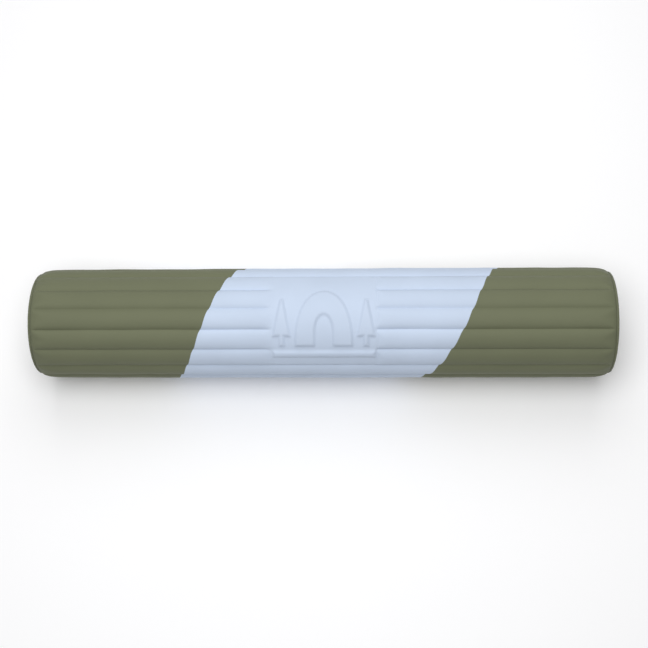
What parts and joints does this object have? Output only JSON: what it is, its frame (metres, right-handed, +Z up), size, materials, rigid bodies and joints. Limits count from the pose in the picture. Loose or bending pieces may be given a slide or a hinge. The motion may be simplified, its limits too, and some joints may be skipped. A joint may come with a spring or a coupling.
{
  "type": "camp pillow",
  "caption": "Ribbed cylindrical camp pillow with a slanted light-blue band, edge piping, a rear zip, a foam sleeve and an air bladder with a two-stage valve.",
  "frame": {"origin": "on the surface that the pillow lies on, under the middle of its length", "axes": "+X along the pillow towards the valve end, +Z up, -Y towards the front and +Y towards the rear zip"},
  "size_m": [0.5033, 0.0972, 0.0944],
  "materials": {
    "olive_cover": "matt olive soft-touch knit, hot pressed into ribs",
    "blue_cover": "matt light-blue soft-touch knit, hot pressed into ribs",
    "olive_piping": "olive bias-cut binding over a round core",
    "cream_foam": "open-cell cushion foam",
    "bladder_film": "coated bladder fabric",
    "valve_plastic": "moulded soft plastic",
    "seal_rubber": "moulded rubber",
    "flap_silicone": "translucent silicone",
    "zip_tape": "woven zip tape",
    "zip_coil": "coiled monofilament",
    "zip_metal": "painted die-cast zinc",
    "zip_pull_rubber": "moulded soft pull"
  },
  "bodies": {
    "pillow": {"cover_left_panel": "olive_cover", "cover_centre_panel": "blue_cover", "cover_right_panel": "olive_cover", "left_end_disc": "olive_cover", "right_end_disc": "olive_cover", "left_piping": "olive_piping", "right_piping": "olive_piping", "foam_sleeve": "cream_foam", "bladder_tube": "bladder_film", "bladder_left_end": "bladder_film", "bladder_right_end": "bladder_film", "valve_base": "valve_plastic", "valve_surround": "olive_piping", "zip_tape_upper": "zip_tape", "zip_tape_lower": "zip_tape", "zip_row_upper": "zip_coil", "zip_row_lower": "zip_coil", "zip_top_stop": "zip_metal", "zip_bottom_stop": "zip_metal"},
    "slider": {"zip_slider": "zip_metal"},
    "pull": {"zip_pull": "zip_pull_rubber"},
    "plug": {"valve_plug": "valve_plastic", "valve_plug_seal": "seal_rubber"},
    "cap": {"valve_cap": "valve_plastic"},
    "flap": {"valve_flap": "flap_silicone"}
  },
  "joints": [
    {"name": "zip_slide", "type": "slide", "parent": "pillow", "child": "slider", "axis": [-1, 0, 0], "range_m": [0, 0.368]},
    {"name": "zip_pull_hinge", "type": "hinge", "parent": "slider", "child": "pull", "pos_m": [0.1873, 0.0482, 0.04703], "axis": [0, 0, -1], "range_deg": [0, 150]},
    {"name": "valve_plug_hinge", "type": "hinge", "parent": "pillow", "child": "plug", "pos_m": [0.25184, 0.0186, 0.04703], "axis": [0, 0, 1], "range_deg": [0, 130]},
    {"name": "valve_cap_hinge", "type": "hinge", "parent": "plug", "child": "cap", "pos_m": [0.25334, -0.0126, 0.04703], "axis": [0, 0, -1], "range_deg": [0, 150]},
    {"name": "valve_flap_hinge", "type": "hinge", "parent": "plug", "child": "flap", "pos_m": [0.24534, -0.0066, 0.04703], "axis": [0, 0, 1], "range_deg": [0, 35], "stiffness_Nm_per_rad": 0.0001}
  ]
}
